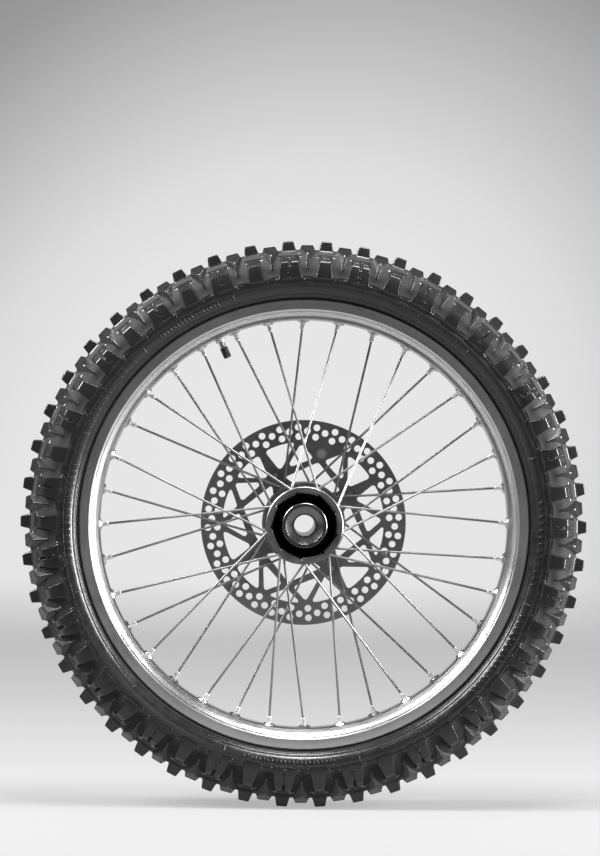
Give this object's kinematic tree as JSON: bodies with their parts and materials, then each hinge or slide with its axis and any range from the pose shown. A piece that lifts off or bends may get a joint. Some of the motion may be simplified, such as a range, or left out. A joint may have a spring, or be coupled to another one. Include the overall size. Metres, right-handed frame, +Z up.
{
  "type": "motorcycle wheel with off-road tyre",
  "caption": "Spoked off-road motorcycle front wheel: knobbly tyre on an aluminium rim, laced to a machined hub with ball bearings, spacers and a drilled brake disc.",
  "frame": {"origin": "centre of the wheel: on the axle axis, midway across the rim", "axes": "+Y along the axle towards the brake disc side, +Z up, X in the wheel's plane; the tyre stands on the floor at -Z"},
  "size_m": [0.7078, 0.112, 0.7072],
  "materials": {
    "tyre_rubber": "matt black moulded rubber",
    "tube_rubber": "smooth black butyl",
    "strip_rubber": "thin rubber band",
    "bead_wire": "bronzed steel wire",
    "rim_alloy": "anodised grey, satin",
    "spoke_steel": "drawn steel, zinc plated",
    "nipple_alloy": "satin",
    "hub_alloy": "dark anodised, satin",
    "spacer_alloy": "turned, anodised grey",
    "disc_steel": "ground stainless steel",
    "bolt_steel": "plated steel",
    "bearing_steel": "ground and polished",
    "seal_rubber": "black nitrile",
    "valve_brass": "nickel plated brass",
    "cap_plastic": "black moulded plastic"
  },
  "bodies": {
    "axle_set": {"wheel_spacer_free_side": "spacer_alloy", "wheel_spacer_disc_side": "spacer_alloy", "distance_sleeve": "spacer_alloy", "bearing_inner_race_free_side": "bearing_steel", "bearing_inner_race_disc_side": "bearing_steel"},
    "wheel": {"tyre": "tyre_rubber", "bead_core_disc_side": "bead_wire", "bead_core_free_side": "bead_wire", "inner_tube": "tube_rubber", "rim_strip": "strip_rubber", "rim": "rim_alloy", "spokes_free_leading": "spoke_steel", "spokes_free_trailing": "spoke_steel", "spokes_disc_leading": "spoke_steel", "spokes_disc_trailing": "spoke_steel", "nipples_free_side": "nipple_alloy", "nipples_disc_side": "nipple_alloy", "hub": "hub_alloy", "brake_disc": "disc_steel", "disc_bolts": "bolt_steel", "valve_stem": "valve_brass", "valve_core": "valve_brass", "valve_nut": "bolt_steel", "oil_seal_free_side": "seal_rubber", "oil_seal_disc_side": "seal_rubber", "bearing_outer_race_free_side": "bearing_steel", "bearing_shields_free_side": "seal_rubber", "bearing_outer_race_disc_side": "bearing_steel", "bearing_shields_disc_side": "seal_rubber"},
    "cage_free_side": {"bearing_cage_free_side": "bearing_steel", "bearing_balls_free_side": "bearing_steel"},
    "cage_disc_side": {"bearing_cage_disc_side": "bearing_steel", "bearing_balls_disc_side": "bearing_steel"},
    "valve_cap": {"valve_cap": "cap_plastic"},
    "valve_pin": {"valve_pin": "valve_brass"}
  },
  "joints": [
    {"name": "wheel_spin", "type": "hinge", "parent": "axle_set", "child": "wheel", "pos_m": [0, 0, 0], "axis": [0, 1, 0], "continuous": true},
    {"name": "cage_free_side_spin", "type": "hinge", "parent": "axle_set", "child": "cage_free_side", "pos_m": [0, 0, 0], "axis": [0, 1, 0], "continuous": true},
    {"name": "cage_disc_side_spin", "type": "hinge", "parent": "axle_set", "child": "cage_disc_side", "pos_m": [0, 0, 0], "axis": [0, 1, 0], "continuous": true},
    {"name": "valve_cap_off", "type": "slide", "parent": "wheel", "child": "valve_cap", "axis": [0.4258, 0, -0.9048], "range_m": [0, 0.014]},
    {"name": "valve_pin_press", "type": "slide", "parent": "wheel", "child": "valve_pin", "axis": [-0.4258, 0, 0.9048], "range_m": [0, 0.001], "stiffness_N_per_m": 400, "springref_m": -0.001}
  ],
  "couplings": [
    {"joint": "cage_free_side_spin", "follows": "wheel_spin", "ratio": 0.5649},
    {"joint": "cage_disc_side_spin", "follows": "wheel_spin", "ratio": 0.5649}
  ]
}
